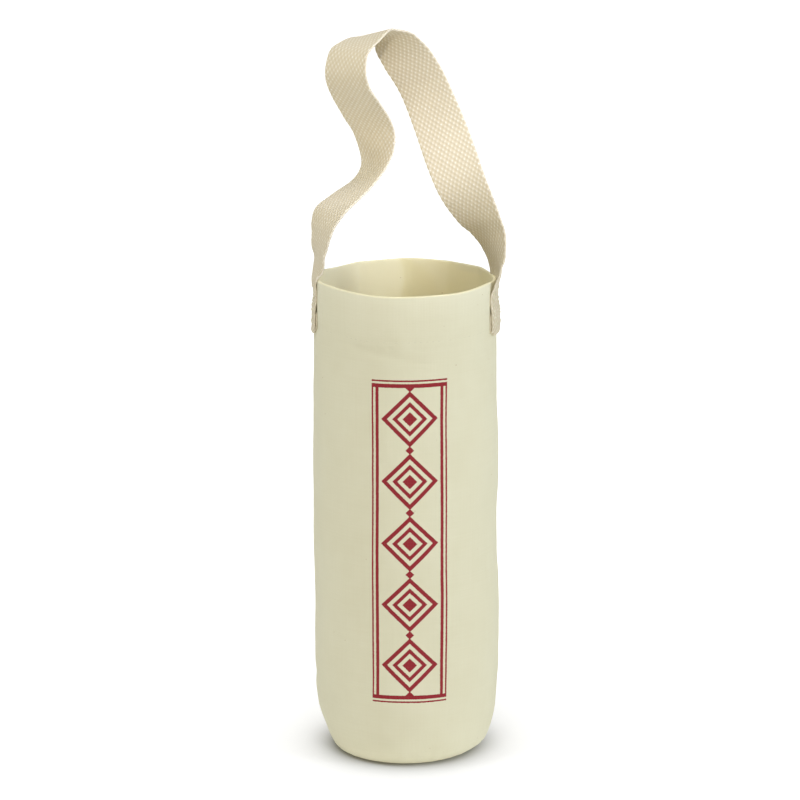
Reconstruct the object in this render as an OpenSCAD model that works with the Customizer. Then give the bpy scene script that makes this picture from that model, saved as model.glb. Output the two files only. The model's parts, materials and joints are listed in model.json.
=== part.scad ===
// Round canvas carrier for one bottle, with a webbing handle sewn to both sides.
// Origin at the centre of the base; +Z up, -Y to the front, +X to the right.

/* [Body] */
// Outer diameter of the round body
body_d = 110; // [90:1:160]
// Height from the base to the rim
body_h = 292; // [200:1:360]
// Thickness of the canvas
cloth_t = 0.9; // [0.5:0.1:1.4]
// Diameter of the flat base at its seam
base_d = 80; // [64:1:88]
// Height of the rounded corner between the base and the straight wall
corner_h = 50; // [20:1:70]
// Cloth left inside the bag beyond each seam
seam_allowance = 8; // [5:0.5:12]
// Air between two layers of cloth or webbing
layer_gap = 0.3; // [0.15:0.05:0.5]

/* [Mouth hem] */
// Depth of the hem that is turned to the inside of the mouth
hem_depth = 30; // [15:1:45]
// Distance of the hem's stitching from its lower edge
hem_margin = 3; // [2:0.5:6]

/* [Handle] */
// Width of the webbing
strap_w = 32; // [20:1:40]
// Thickness of the webbing
strap_t = 1.6; // [1:0.1:2.5]
// Height of the loop above the rim, along the middle of the webbing
handle_rise = 148; // [120:1:200]
// How far each sewn end reaches below the rim
sewn_depth = 32; // [28:1:60]
// Length of webbing that is turned under at each end
turn_under = 17; // [10:1:20]
// Length over which the webbing steps down from its turned end to the wall
step_run = 6; // [4:0.5:10]
// Room below the fold line for the webbing's edge to turn clear of the rim
fold_room = 2; // [1.5:0.5:6]

/* [Stitching] */
// Thickness of the sewing thread
thread_d = 0.5; // [0.3:0.05:0.8]
// Distance from one stitch to the next
stitch_pitch = 3.6; // [2.5:0.1:6]
// Space between the webbing's edge and its stitching
strap_margin = 3.5; // [2.5:0.5:6]
// Height of the base seam's stitching above the base
base_stitch_h = 4; // [3:0.5:5]

/* [Hidden] */
$fn = 96;

canvas = "#dcd6b6";
canvas_inside = "#cfc49e";
webbing = "#dccfaf";
thread = "#efe9d2";

// radii from the outside of the canvas inwards
body_r = body_d / 2;
wall_r = body_r - cloth_t;
hem_r = wall_r - layer_gap - cloth_t;
base_r = base_d / 2;
disc_r = base_r - cloth_t - layer_gap;
lining_r = disc_r - cloth_t;

// the webbing, sewn on just outside the wall
sewn_r = body_r + layer_gap;
strap_r = sewn_r + strap_t / 2;
strap_angle = 2 * asin(strap_w / 2 / sewn_r);
fold_z = body_h + strap_w / 2 + fold_room;
sewn_top = fold_z - strap_w / 2 - layer_gap;
sewn_bottom = body_h - sewn_depth;
turn_top = sewn_bottom + turn_under;
turn_r = strap_t + layer_gap / 2;

// the share of each stitch's pitch that the thread shows on the surface
stitch_share = 0.75;
// clearance between a thread and the cloth that it lies on
thread_gap = layer_gap / 2;
overrun = 2 * body_d;

// steps that a quarter bend is drawn in
corner_steps = 12;
turn_steps = 4;

// Route of the handle's webbing from the left fold to the right one. Each row has the place
// across and along Y as shares of strap_r, the height as a share of the loop above the fold
// line, and the webbing's turn about Z and its lean, in degrees.
route_shares = [
    [-0.935, 0, 0, 17, 0],
    [-0.91, 0.01, 0.055, 23, 1],
    [-0.875, 0.04, 0.11, 30, 3],
    [-0.81, 0.10, 0.175, 39, 4],
    [-0.65, 0.235, 0.235, 36, 4],
    [-0.47, 0.36, 0.29, 31, 5],
    [-0.37, 0.435, 0.36, 33, 5],
    [-0.345, 0.46, 0.43, 45, 4],
    [-0.365, 0.43, 0.505, 57, 1],
    [-0.44, 0.265, 0.60, 69, -1],
    [-0.52, 0.04, 0.69, 67, 0],
    [-0.595, -0.13, 0.765, 61, 2],
    [-0.62, -0.175, 0.85, 54, 4],
    [-0.585, -0.13, 0.915, 48, 4],
    [-0.46, -0.02, 0.97, 33, 6],
    [-0.31, 0.065, 1.0, 24, 12],
    [-0.205, 0.11, 0.99, 30, 18],
    [-0.13, 0.135, 0.965, 45, 20],
    [-0.07, 0.165, 0.93, 66, 20],
    [0.02, 0.245, 0.86, 77, 21],
    [0.155, 0.30, 0.755, 79, 26],
    [0.335, 0.275, 0.58, 83, 22],
    [0.475, 0.185, 0.425, 84, 23],
    [0.62, 0.11, 0.28, 75, 22],
    [0.775, 0.085, 0.155, 57, 20],
    [0.87, 0.035, 0.085, 41, 14],
    [0.925, 0.01, 0.035, 31, 9],
    [0.955, 0, 0, 24, 5]];
steps_per_row = 3;
tip_steps = 6;

function unit(v) = v / norm(v);
function row_place(row) =
    [row[0] * strap_r, row[1] * strap_r, fold_z + row[2] * (body_h + handle_rise - fold_z), row[3], row[4]];

// the route's rows, and one more beyond each end towards the middle of the sewn end below it
left_seat = [-strap_r, 0, sewn_top];
right_seat = [strap_r, 0, sewn_top];
function row_beyond(row, seat) =
    let (p = [row[0], row[1], row[2]], q = p + unit(seat - p) * strap_w / 4)
    [q[0], q[1], q[2], row[3], row[4]];
route_rows = let (rows = [for (row = route_shares) row_place(row)], last = rows[len(rows) - 1])
    concat([row_beyond(rows[0], left_seat)], rows, [row_beyond(last, right_seat)]);
row_spans = len(route_rows) - 3;

// a smooth curve through the rows, where whole numbers are the rows themselves
function route_at(s) =
    let (i = min(floor(s), row_spans - 1), t = s - i,
         a = route_rows[i], b = route_rows[i + 1], c = route_rows[i + 2], d = route_rows[i + 3])
    (2 * b + (c - a) * t + (2 * a - 5 * b + 4 * c - d) * t * t + (3 * b - a - 3 * c + d) * t * t * t) / 2;
function place_at(s) = let (p = route_at(s)) [p[0], p[1], p[2]];
ring_count = row_spans * steps_per_row;
function heading_at(k) =
    k == 0 ? unit(place_at(0) - left_seat) :
    k == ring_count ? unit(right_seat - place_at(row_spans)) :
    unit(place_at((k + 1) / steps_per_row) - place_at((k - 1) / steps_per_row));

// direction across the webbing, from its back edge to its front edge, square to the heading
function across_at(k) =
    let (p = route_at(k / steps_per_row), h = heading_at(k),
         w = [sin(p[3]) * cos(p[4]), -cos(p[3]) * cos(p[4]), sin(p[4])])
    unit(w - (w * h) * h);

// the four corners of the webbing at a place
function webbing_ring(place, heading, across, half_w) =
    let (out = cross(heading, across) * strap_t / 2, side = across * half_w)
    [place + side + out, place - side + out, place - side - out, place + side - out];
function loop_ring(k) =
    webbing_ring(place_at(k / steps_per_row), heading_at(k), across_at(k), strap_w / 2);

// the round tips below the fold line: half a disc about the end of the route, in its own plane
function tip_ring(k, seat, angle) =
    let (p = place_at(k / steps_per_row), place = p + unit(seat - p) * strap_w / 2 * sin(angle))
    webbing_ring(place, heading_at(k), across_at(k), strap_w / 2 * cos(angle));

function stack_points(rings) = [for (ring = rings) each ring];
function stack_faces(n) = concat(
    [[0, 1, 2], [0, 2, 3], [4 * n - 1, 4 * n - 2, 4 * n - 3], [4 * n - 1, 4 * n - 3, 4 * n - 4]],
    [for (k = [0:n - 2], j = [0:3]) [4 * k + j, 4 * k + 4 + j, 4 * k + 4 + (j + 1) % 4]],
    [for (k = [0:n - 2], j = [0:3]) [4 * k + j, 4 * k + 4 + (j + 1) % 4, 4 * k + (j + 1) % 4]]);

// Half profile of the canvas tube: up the outside from the base seam, over the fold of the
// hem, down its inner layer, and back down the inside to the allowance at the base
function corner_point(r_out, h, a) = [base_r + (r_out - base_r) * sin(a), h * (1 - cos(a))];
function arc_point(r, z, radius, a) = [r + radius * cos(a), z + radius * sin(a)];
fold_r = (body_r - hem_r) / 2;
fold_mid = hem_r + fold_r;
panel_profile = concat(
    [[base_r - cloth_t, 0]],
    [for (k = [0:corner_steps]) corner_point(body_r, corner_h, 90 * k / corner_steps)],
    [for (k = [0:2 * turn_steps]) arc_point(fold_mid, body_h - fold_r, fold_r, 90 * k / turn_steps)],
    [[hem_r, body_h - hem_depth], [hem_r + cloth_t, body_h - hem_depth],
     [hem_r + cloth_t, body_h - fold_r], [wall_r, body_h - fold_r]],
    [for (k = [corner_steps:-1:1])
        let (p = corner_point(wall_r, corner_h - cloth_t, 90 * k / corner_steps)) [p[0], p[1] + cloth_t]],
    [[base_r, cloth_t], [base_r, seam_allowance], [base_r - cloth_t, seam_allowance]]);

// Half profile of a sewn end of the webbing, with its raw end turned under against the wall
sewn_profile = concat(
    [[sewn_r, sewn_top], [sewn_r, turn_top + step_run], [sewn_r + strap_t + layer_gap, turn_top],
     [sewn_r + strap_t + layer_gap, sewn_bottom + turn_r], [sewn_r + strap_t, sewn_bottom + turn_r],
     [sewn_r + strap_t, turn_top], [sewn_r, turn_top]],
    [for (k = [0:2 * turn_steps])
        arc_point(sewn_r + turn_r, sewn_bottom + turn_r, turn_r, 180 + 90 * k / turn_steps)],
    [[sewn_r + 2 * turn_r, turn_top], [sewn_r + strap_t, turn_top + step_run],
     [sewn_r + strap_t, sewn_top]]);

// a thread laid from p to q, shortened to the part of the stitch that shows
module stitch(p, q) {
    d = (q - p) * stitch_share;
    translate((p + q - d) / 2)
        rotate([0, acos(d[2] / norm(d)), atan2(d[1], d[0])])
            cylinder(h = norm(d), d = thread_d, $fn = 16);
}

// how many stitches fit the line from p to q
function line_count(p, q) = max(1, round(norm(q - p) / stitch_pitch));
function on_ring(r, z, a) = [r * cos(a), r * sin(a), z];

module body_panel() {
    color(canvas) rotate_extrude() polygon(panel_profile);
}

module base_disc() {
    color(canvas) difference() {
        cylinder(h = seam_allowance, r = disc_r);
        translate([0, 0, cloth_t]) cylinder(h = seam_allowance, r = lining_r);
    }
}

// The tube's own two edges, pressed open inside the wall on each side of the back seam
back_slit = thread_d + 2 * thread_gap;
back_low = corner_h + layer_gap;
back_high = body_h - hem_depth - layer_gap;
back_outer = wall_r - layer_gap;
back_half_angle = asin(seam_allowance / back_outer);
module back_seam() {
    color(canvas_inside) difference() {
        translate([0, 0, back_low]) rotate(90 - back_half_angle)
            rotate_extrude(angle = 2 * back_half_angle)
                translate([back_outer - cloth_t, 0]) square([cloth_t, back_high - back_low]);
        translate([-back_slit / 2, 0, 0]) cube([back_slit, overrun, overrun + body_h]);
    }
}

module back_seam_stitching() {
    n = line_count([0, 0, back_low], [0, 0, back_high]);
    pitch = (back_high - back_low) / n;
    y = wall_r - thread_d;
    color(thread) for (k = [0:n - 1])
        stitch([0, y, back_low + k * pitch], [0, y, back_low + (k + 1) * pitch]);
}

// a ring of stitches at radius r, left out for the given half angle about each side
module stitch_ring(r, z, side_gap = 0) {
    n = 4 * round(PI * r / stitch_pitch / 2);
    color(thread) for (k = [0:n - 1]) {
        a = 360 * (k + 0.5) / n;
        if (abs(sin(a)) > sin(side_gap)) stitch(on_ring(r, z, a - 180 / n), on_ring(r, z, a + 180 / n));
    }
}

module base_seam_stitching() {
    stitch_ring(lining_r - thread_d / 2 - thread_gap, base_stitch_h);
}

module hem_stitching() {
    stitch_ring(body_r + thread_d / 2 + thread_gap, body_h - hem_depth + hem_margin,
                strap_angle / 2 + 360 * thread_d / body_r / PI);
}

module strap_end() {
    color(webbing) rotate(-strap_angle / 2) rotate_extrude(angle = strap_angle) polygon(sewn_profile);
}

module strap_end_right() {
    strap_end();
}

module strap_end_left() {
    mirror([1, 0, 0]) strap_end();
}

// radius of the sewn end's outer face at a height
function face_r(z) = sewn_r + strap_t
    + (strap_t + layer_gap) * min(1, max(0, (turn_top + step_run - z) / step_run));
stitch_half_w = strap_w / 2 - strap_margin;
stitch_low = sewn_bottom + strap_margin;
stitch_high = sewn_top - strap_margin - 2 * thread_d;

// a place on the sewn end's face, where a straight stitch that crosses the step's edge stays clear
step_lead = stitch_pitch * stitch_share / 4;
function on_strap(p) =
    on_ring(face_r(p[1] - step_lead) + thread_d / 2 + thread_gap, p[1], p[0] * strap_angle / strap_w);

module strap_line(p, q) {
    n = line_count(p, q);
    for (k = [0:n - 1])
        stitch(on_strap(p + (q - p) * k / n), on_strap(p + (q - p) * (k + 1) / n));
}

// a box of stitches with its two diagonals
module strap_stitching() {
    corners = [[-stitch_half_w, stitch_low], [stitch_half_w, stitch_low],
               [stitch_half_w, stitch_high], [-stitch_half_w, stitch_high]];
    inset = (corners[2] - corners[0]) * stitch_pitch / norm(corners[2] - corners[0]) / 2;
    flip = [-inset[0], inset[1]];
    color(thread) {
        for (k = [0:3]) strap_line(corners[k], corners[(k + 1) % 4]);
        strap_line(corners[0] + inset, corners[2] - inset);
        strap_line(corners[1] + flip, corners[3] - flip);
    }
}

module strap_stitching_right() {
    strap_stitching();
}

module strap_stitching_left() {
    mirror([1, 0, 0]) strap_stitching();
}

module handle_strap() {
    rings = concat(
        [for (k = [tip_steps - 1:-1:1]) tip_ring(0, left_seat, 90 * k / tip_steps)],
        [for (k = [0:ring_count]) loop_ring(k)],
        [for (k = [1:tip_steps - 1]) tip_ring(ring_count, right_seat, 90 * k / tip_steps)]);
    color(webbing) polyhedron(stack_points(rings), stack_faces(len(rings)), convexity = 10);
}

body_panel();
base_disc();
back_seam();
back_seam_stitching();
base_seam_stitching();
hem_stitching();
strap_end_left();
strap_end_right();
strap_stitching_left();
strap_stitching_right();
handle_strap();
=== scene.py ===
"""A round canvas carrier for one bottle, standing open, with its webbing handle fallen in a loose loop.

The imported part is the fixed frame. Each operator makes one piece, or a group of like pieces, around it.
Lengths are in metres and angles in radians, unless a name ends in _mm or _deg.
"""

import json
import math
from functools import partial

import bpy
import numpy as np
from bpy.props import FloatProperty, FloatVectorProperty, PointerProperty
from bpy.types import Operator, Panel, PropertyGroup
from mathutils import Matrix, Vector


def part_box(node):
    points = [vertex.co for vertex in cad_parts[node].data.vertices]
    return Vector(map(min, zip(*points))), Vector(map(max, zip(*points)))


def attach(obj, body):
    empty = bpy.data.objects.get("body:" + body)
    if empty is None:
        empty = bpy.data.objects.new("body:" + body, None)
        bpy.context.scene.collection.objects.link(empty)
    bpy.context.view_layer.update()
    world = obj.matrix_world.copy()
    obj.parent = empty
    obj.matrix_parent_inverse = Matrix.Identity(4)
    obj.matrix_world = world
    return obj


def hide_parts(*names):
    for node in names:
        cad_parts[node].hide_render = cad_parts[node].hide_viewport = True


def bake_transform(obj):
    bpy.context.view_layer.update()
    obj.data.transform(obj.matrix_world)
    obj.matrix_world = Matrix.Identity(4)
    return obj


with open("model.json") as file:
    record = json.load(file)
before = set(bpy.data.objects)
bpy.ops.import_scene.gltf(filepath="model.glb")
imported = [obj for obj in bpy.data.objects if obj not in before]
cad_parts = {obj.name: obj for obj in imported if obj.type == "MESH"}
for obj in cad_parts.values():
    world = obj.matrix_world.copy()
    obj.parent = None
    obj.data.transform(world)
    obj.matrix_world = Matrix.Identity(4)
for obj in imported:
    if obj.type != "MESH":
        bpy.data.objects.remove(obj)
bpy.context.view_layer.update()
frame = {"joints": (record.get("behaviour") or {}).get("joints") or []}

bl_info = {
    "name": "Canvas bottle carrier",
    "version": (1, 0, 0),
    "blender": (4, 5, 0),
    "location": "View3D > Sidebar > Carrier",
    "description": "Makes a round canvas bottle carrier with a webbing handle",
    "category": "Object",
}

MM = 0.001
TURN = 2 * math.pi

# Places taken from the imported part
PANEL_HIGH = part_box("body_panel")[1]
END_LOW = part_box("strap_end_right")[0]
FOLD_Z = frame["joints"][0]["pos_m"][2]

# The material that each of the record's slots is made of
MATERIALS = {"canvas": "undyed_cotton_canvas", "webbing": "cotton_webbing", "thread": "spun_cotton_thread"}


def linear(hex_colour):
    """Linear RGB of an sRGB hex colour such as #dfd9b8."""
    parts = [int(hex_colour[i:i + 2], 16) / 255 for i in (1, 3, 5)]
    return tuple(p / 12.92 if p <= 0.04045 else ((p + 0.055) / 1.055) ** 2.4 for p in parts)


def length(label, about, value):
    """A length that a user may change, in metres."""
    return FloatProperty(name=label, description=about, default=value, min=0.0, unit="LENGTH", precision=4)


def colour(label, about, hex_colour):
    """A surface colour that a user may change."""
    return FloatVectorProperty(name=label, description=about, default=linear(hex_colour),
                               subtype="COLOR", size=3, min=0.0, max=1.0)


class CarrierSizes(PropertyGroup):
    """Sizes of the carrier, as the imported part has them."""
    body_radius: length("Body radius", "Outer radius of the canvas tube", PANEL_HIGH.x)
    rim_height: length("Rim height", "Height of the rim above the base", PANEL_HIGH.z)
    cloth: length("Canvas thickness", "Thickness of one layer of canvas", 0.9 * MM)
    layer_gap: length("Layer gap", "Air between two layers of cloth", 0.3 * MM)
    base_radius: length("Base radius", "Radius of the flat base at its seam", 40 * MM)
    corner_height: length("Corner height", "Height of the rounded corner above the base", 50 * MM)
    allowance: length("Seam allowance", "Cloth left inside the bag beyond a seam", 8 * MM)
    hem_depth: length("Hem depth", "Depth of the hem turned into the mouth", 30 * MM)
    hem_margin: length("Hem margin", "Distance of the stitching from the hem's edge", 3 * MM)
    strap_width: length("Webbing width", "Width of the handle's webbing", 32 * MM)
    strap_thickness: length("Webbing thickness", "Thickness of the handle's webbing", 1.6 * MM)
    sewn_bottom: length("Sewn end", "Height of the lower edge of the sewn ends", END_LOW.z)
    turn_under: length("Turned end", "Length of webbing turned under at each end", 15 * MM)
    pressed: length("Sewn webbing", "Thickness of the webbing where the stitches press it", 0.9 * MM)
    cord_pitch: length("Webbing cord", "Width of one cord of the webbing's weave", 1.52 * MM)
    pick_pitch: length("Webbing pick", "Length of one cord's crown in the webbing's weave", 2.05 * MM)
    thread: length("Thread", "Thickness of the sewing thread", 0.5 * MM)
    stitch_pitch: length("Stitch pitch", "Distance from one stitch to the next", 3.6 * MM)


class CarrierColours(PropertyGroup):
    """Colours of the carrier's cloths, thread and ink."""
    canvas: colour("Canvas", "Undyed canvas where the yarns are palest", "#eeebd3")
    canvas_deep: colour("Canvas, darker yarn", "Undyed canvas where the yarns are darkest", "#e2ddc0")
    # painted bounce light: the inner face is given a yellower, brighter colour for light bounced about inside the bag
    canvas_inner_painted_bounce: colour("Canvas, inside", "The canvas's inner face, which is yellower", "#f8f0ca")
    seed: colour("Seed flecks", "Bits of cotton seed husk left in the yarn", "#b39c6b")
    # painted light: the crown colour carries a painted highlight and the hollow colour a painted shade
    webbing: colour("Webbing", "Crowns of the webbing's cords", "#f1ece0")
    webbing_hollow_painted_shade: colour("Webbing, hollows", "Hollows between the webbing's cords", "#c0ac7a")
    thread: colour("Thread", "Cotton sewing thread", "#ebe7cd")
    ink: colour("Ink", "Crimson screen-printing ink", "#971c2c")


def add_node(tree, kind, inputs=None, **settings):
    """Adds a node with its settings. inputs gives a value, or a node or socket to link, for each input."""
    made = tree.nodes.new("ShaderNode" + kind)
    for name, value in settings.items():
        setattr(made, name, value)
    for key, value in (inputs or {}).items():
        if isinstance(value, bpy.types.Node):
            value = value.outputs[0]
        if isinstance(value, bpy.types.NodeSocket):
            tree.links.new(value, made.inputs[key])
        else:
            made.inputs[key].default_value = value
    return made


def new_material(name):
    """Makes an empty node material. Gives add_node with the material's node tree filled in."""
    material = bpy.data.materials.new(name)
    material.use_nodes = True
    material.node_tree.nodes.clear()
    return partial(add_node, material.node_tree)


def sizes():
    """The carrier's sizes, as they are set in the scene."""
    return bpy.context.scene.carrier_sizes


def start_piece():
    """Leaves nothing selected, so that the next operator acts on the new piece alone."""
    if bpy.context.object and bpy.context.object.mode != "OBJECT":
        bpy.ops.object.mode_set(mode="OBJECT")
    bpy.ops.object.select_all(action="DESELECT")


def edit_whole():
    """Opens the active mesh in edit mode, with all of it selected."""
    bpy.ops.object.mode_set(mode="EDIT")
    bpy.ops.mesh.select_all(action="SELECT")


def coords(obj):
    """The mesh's points as rows of x, y, z."""
    flat = np.zeros(len(obj.data.vertices) * 3)
    obj.data.vertices.foreach_get("co", flat)
    return flat.reshape(-1, 3)


def set_coords(obj, points):
    """Moves the mesh's points to the given rows."""
    obj.data.vertices.foreach_set("co", np.asarray(points, float).ravel())
    obj.data.update()


def finish_piece(obj, slot):
    """Gives a modelled piece the material of its record slot, and smooth faces that point outwards."""
    obj.data.materials.clear()
    obj.data.materials.append(bpy.data.materials[MATERIALS[slot]])
    start_piece()
    obj.select_set(True)
    bpy.context.view_layer.objects.active = obj
    edit_whole()
    bpy.ops.mesh.normals_make_consistent(inside=False)
    bpy.ops.object.mode_set(mode="OBJECT")
    bpy.ops.object.shade_smooth()


def smooth_step(low, high, value):
    """0 below low, 1 above high, and smooth in between."""
    t = np.clip((np.asarray(value, float) - low) / (high - low), 0, 1)
    return t * t * (3 - 2 * t)


def round_axis(points):
    """Each point's angle about Z from the front, positive towards +X, its distance from Z and its height."""
    x, y, z = points.T
    return np.arctan2(x, -y), np.hypot(x, y), z


def degrees_from(angle, centre_deg):
    """Degrees from a centre to an angle, the short way round."""
    return (np.degrees(angle) - centre_deg + 180) % 360 - 180


def ring_points(angle, radius, height):
    """Rows of x, y, z at angles from the front."""
    return np.column_stack([np.sin(angle) * radius, -np.cos(angle) * radius, height + 0 * np.asarray(angle)])


# The drape of the canvas

# Soft upright creases of the mouth: degrees from the front towards +X, how far each stands out from
# the circle in mm, and how flat the cloth lies from there to the next one, from 0 for round to 1 for flat
CREASES = ((-180, 1.3, 1), (-145, 1.4, 0.9), (-108, 0.4, 0.15), (-62, 0, 0), (62, 0, 0.1),
           (101, 0.2, 0.4), (127, 0.6, 0.7), (154, 0.7, 0.65), (180, 1.2, 1))

# Height of the rim over its plain height in mm, at degrees from the front towards +X
RIM_RISE = ((-180, 1.9), (-158, 2.0), (-135, 1.7), (-112, 1.3), (-90, 2.0), (-62, 2.8), (-44, 2.6), (-16, 0.5),
            (0, -0.3), (16, 0.3), (44, 1.5), (65, 2.0), (90, 2.0), (112, 2.2), (135, 1.6), (158, 1.7), (180, 1.9))

# Where the rim is pulled inwards: degrees from the front, width in degrees, depth in mm
RIM_PULLS = ((106, 12, 1.2),)

# How far the webbing's sewn ends sit towards the front from the two sides, in degrees
TAB_FORWARD_DEG = 3.0

# Dents pressed in by hand: degrees from the front, height, width, height and depth in mm, turned by degrees
DENTS = (
    (-88, 46, 15, 5, 0.9, 10), (-58, 40, 22, 7, 0.55, -8), (-22, 27, 20, 7, 0.5, 3), (14, 34, 26, 9, -0.45, 5),
    (48, 30, 18, 7, 0.5, 10), (82, 44, 14, 8, 0.4, -6), (-70, 150, 9, 60, 0.35, 3), (-46, 215, 10, 55, 0.35, -4),
    (38, 120, 12, 50, 0.3, 5), (66, 190, 9, 45, 0.35, -5), (120, 90, 14, 40, 0.6, 8), (-130, 110, 16, 45, 0.7, -8),
    (165, 60, 20, 12, 0.6, 8), (-160, 160, 12, 40, 0.5, 5),
    # a long shallow fold under the hem, and short fine creases beside it
    (-19, 258.5, 26, 3.2, 0.5, -10), (-52, 266, 16, 2.6, 0.3, 5), (66, 261, 12, 3.4, 0.45, -14),
    (13, 252.2, 4.5, 1.3, 0.16, -2), (13.5, 248.6, 4, 1.3, 0.14, 3), (21, 251.6, 5, 1.3, 0.16, 4),
    (16, 259.6, 5, 1.3, 0.15, -4), (30, 261, 4, 1.3, 0.15, 2), (30.5, 253, 3.6, 1.3, 0.13, -5),
    (-14, 262, 1.3, 1.3, 0.22, 0), (-6.5, 261.5, 1.3, 1.3, 0.22, 0),
)

# How far the tube has sagged out to its right and its left: height, right and left in mm
SAG = ((0, 0, 0), (5, 2.9, -0.8), (20, 2.3, -0.2), (32, 2, -0.5), (45, 2.1, 0.3), (60, 2.3, 0.35),
       (88, 2.8, 0.3), (110, 2.3, 0.8), (125, 1.2, 1.2), (150, 0.8, 1.1), (170, 1.3, 0.75), (195, 1.25, 1.1),
       (208, 0.6, 1.1), (220, 0, 1), (235, 0, 0.75), (262, 0, 0.3), (292, 0, 0))


def ripple(angle, height, draw, turns, spans_mm, size_mm, waves=16):
    """A soft uneven field in metres: waves with whole turns round the body, of the given height spans."""
    total = np.zeros_like(angle)
    for _ in range(waves):
        rounds = draw.integers(turns[0], turns[1] + 1)
        climb = TURN / (draw.uniform(*spans_mm) * MM) * draw.choice((-1, 1))
        total += np.cos(rounds * angle + climb * height + draw.uniform(0, TURN))
    return total * size_mm * MM * math.sqrt(2 / waves)


def rim_rise(angle):
    """RIM_RISE in metres at the given angles, blurred so that it has no corners."""
    degrees, rise_mm = np.array(RIM_RISE).T
    return sum(np.interp(degrees_from(angle, blur), degrees, rise_mm) for blur in np.linspace(-12, 12, 9)) / 9 * MM


def mouth_flats(angle, radius):
    """How far the cloth lies outside its circle, where it is flat between two upright creases of the mouth."""
    total = np.zeros_like(angle)
    for blur in (-1.6, -0.8, 0, 0.8, 1.6):
        degrees = degrees_from(angle, blur)
        for (start, stands, flatness), (end, ends, _) in zip(CREASES, CREASES[1:]):
            half = (end - start) / 2
            x = (degrees - (start + end) / 2) / half
            sag = flatness * radius * (1 - math.cos(math.radians(half)))
            line = (stands * (1 - x) + ends * (1 + x)) / 2 * MM
            inside = (x >= -1) & (x < 1)
            total += np.where(inside, line - sag * (1 - x * x), 0) / 5
    return total


def drape(angle, height):
    """How far the canvas stands out from its plain round form, and how far it is raised, in metres."""
    size = sizes()
    draw = np.random.default_rng(11)
    rim, radius = size.rim_height, size.body_radius
    above_base = smooth_step(0, 30 * MM, height)
    out = ripple(angle, height, draw, (1, 4), (110, 260), 0.30) * above_base
    out += ripple(angle, height, draw, (5, 12), (45, 120), 0.10) * above_base
    out += ripple(angle, height, draw, (9, 22), (16, 40), 0.035) * above_base
    low = smooth_step(0, 12 * MM, height) * (1 - smooth_step(20 * MM, 70 * MM, height))
    out += ripple(angle, height, draw, (3, 9), (22, 60), 0.28) * low
    out += ripple(angle, height, draw, (3, 8), (60, 160), 0.28) * smooth_step(rim - 45 * MM, rim, height)
    out += mouth_flats(angle, radius) * (0.12 + 0.88 * smooth_step(120 * MM, 262 * MM, height))
    for centre_deg, middle, width, tall, depth, turned_deg in DENTS:
        along = np.radians(degrees_from(angle, centre_deg)) * radius / MM
        up = height / MM - middle
        cos, sin = math.cos(math.radians(turned_deg)), math.sin(math.radians(turned_deg))
        along, up = along * cos + up * sin, up * cos - along * sin
        out -= depth * MM * np.exp(-(along / width) ** 2 - (up / tall) ** 2)
    sag_height, *sags = np.array(SAG).T
    for side, sag in zip((1, -1), sags):
        out += np.clip(side * np.sin(angle), 0, 1) ** 2 * np.interp(height / MM, sag_height, sag) * MM
    # the webbing's sewn ends hold the cloth flat and draw it in a little
    for side, drawn in ((-1, 0.9), (1, 0.2)):
        along = np.radians(degrees_from(angle, side * (90 - TAB_FORWARD_DEG))) * radius
        held = np.exp(-(along / (19 * MM)) ** 4) * smooth_step(rim - 33 * MM, rim - 27 * MM, height)
        out = out * (1 - 0.85 * held) - drawn * MM * held
    for centre_deg, width_deg, pull in RIM_PULLS:
        pulled = np.exp(-(degrees_from(angle, centre_deg) / width_deg) ** 2)
        out -= pull * MM * pulled * smooth_step(rim - 24 * MM, rim - 2 * MM, height)
    lift = ripple(angle, 0 * height, draw, (2, 6), (60, 160), 0.42, waves=8) + rim_rise(angle)
    return out, lift * smooth_step(rim - 60 * MM, rim, height)


def seam_puckers(angle, height):
    """Small gathers that the base seam's stitches pull into the canvas above it."""
    draw = np.random.default_rng(23)
    gathers = ripple(angle, 0 * height, draw, (24, 52), (60, 160), 0.16, waves=10)
    return gathers * np.exp(-height / (7 * MM)) * smooth_step(0, 1 * MM, height)


# Pieces

def chain(name, outline):
    """One edge chain in the XZ plane through the outline's (radius, height) points, extruded point by point."""
    start_piece()
    bpy.ops.mesh.primitive_plane_add(size=MM)
    obj = bpy.context.object
    obj.name = obj.data.name = name
    edit_whole()
    bpy.ops.mesh.merge(type="CENTER")
    radius, height = outline[0]
    bpy.ops.transform.translate(value=(radius, 0, height))
    for a, b in zip(outline, outline[1:]):
        bpy.ops.mesh.extrude_vertices_move(TRANSFORM_OT_translate={"value": (b[0] - a[0], 0, b[1] - a[1])})
    bpy.ops.object.mode_set(mode="OBJECT")
    return obj


def spun(name, outline, columns):
    """The outline spun once round Z. The attribute row keeps each point's place in the outline."""
    obj = chain(name, outline)
    rows = obj.data.attributes.new("row", "FLOAT", "POINT")
    rows.data.foreach_set("value", np.arange(len(outline), dtype=np.float32))
    edit_whole()
    bpy.ops.mesh.spin(steps=columns, angle=TURN, center=(0, 0, 0), axis=(0, 0, 1))
    bpy.ops.mesh.select_all(action="SELECT")
    bpy.ops.mesh.remove_doubles(threshold=1e-5)
    bpy.ops.object.mode_set(mode="OBJECT")
    return obj


def row_numbers(obj):
    """Each point's place in the outline that it was spun from."""
    rows = np.zeros(len(obj.data.vertices), np.float32)
    obj.data.attributes["row"].data.foreach_get("value", rows)
    return np.round(rows).astype(int)


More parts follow.
